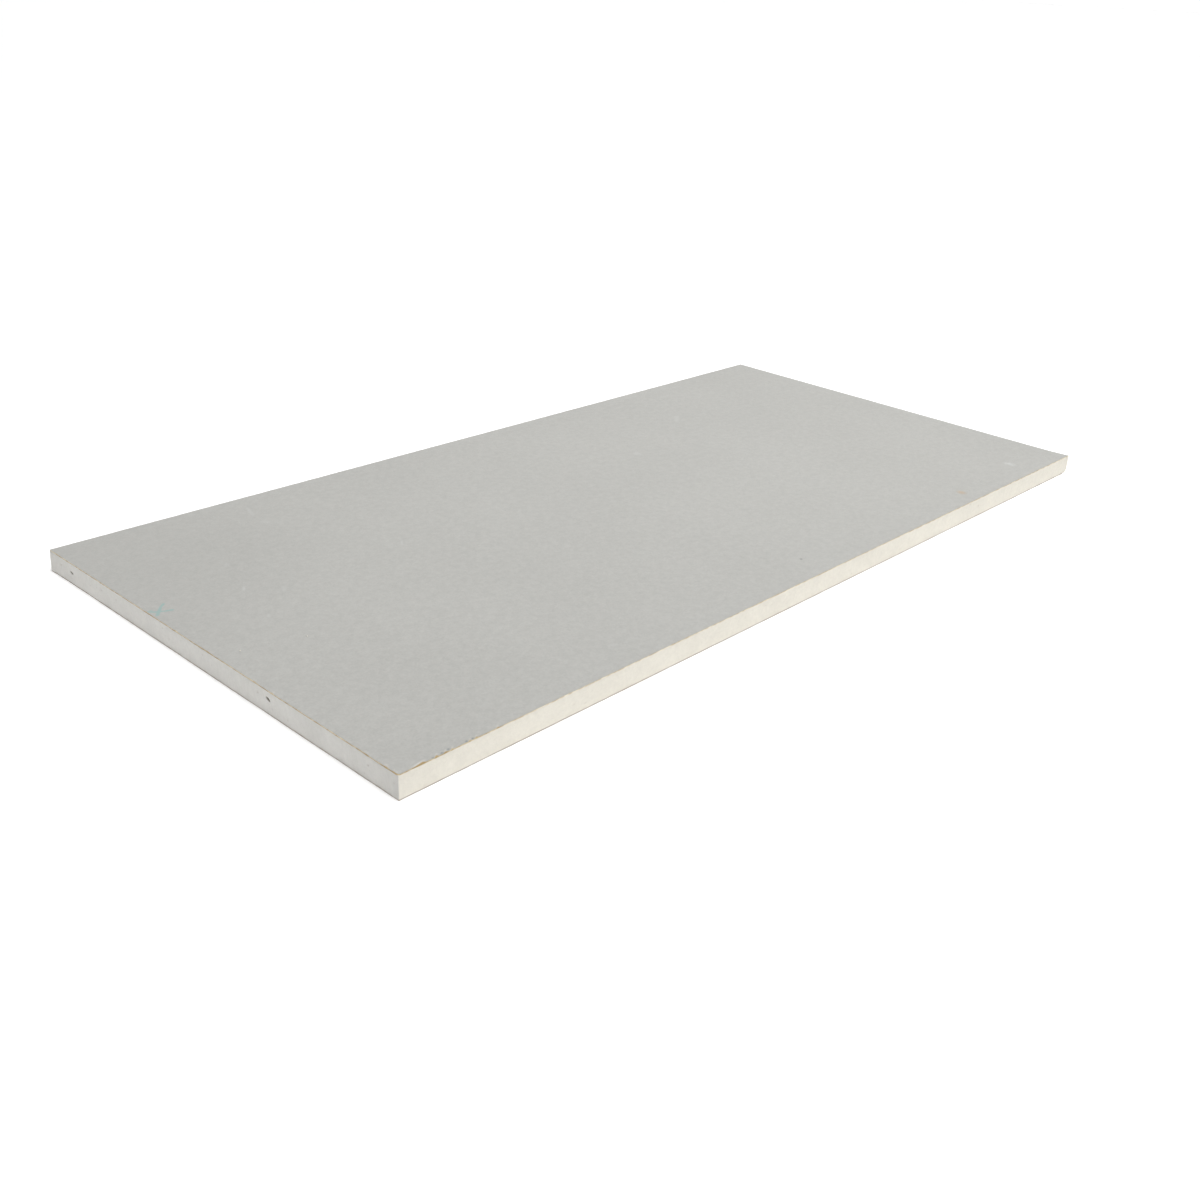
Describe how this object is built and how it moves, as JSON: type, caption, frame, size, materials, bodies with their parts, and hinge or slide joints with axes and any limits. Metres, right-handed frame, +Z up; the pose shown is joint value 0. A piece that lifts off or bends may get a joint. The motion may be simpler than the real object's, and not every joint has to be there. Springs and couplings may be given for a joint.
{
  "type": "drywall sheet",
  "caption": "Cut piece of half-inch drywall with a grey face paper, a white gypsum core showing at its cut edges, and a brown back paper.",
  "frame": {"origin": "middle of the underside, which is the back paper's outer face", "axes": "+X along the length, from the sawn end to the snapped end; +Y across the width; +Z up through the thickness, out of the grey face"},
  "size_m": [0.6096, 0.3048, 0.0127],
  "materials": {
    "gypsum": "matte",
    "face_paper": "matte",
    "back_paper": "matte"
  },
  "bodies": {
    "root": {"gypsum_core": "gypsum", "face_paper": "face_paper", "back_paper": "back_paper"}
  },
  "joints": []
}
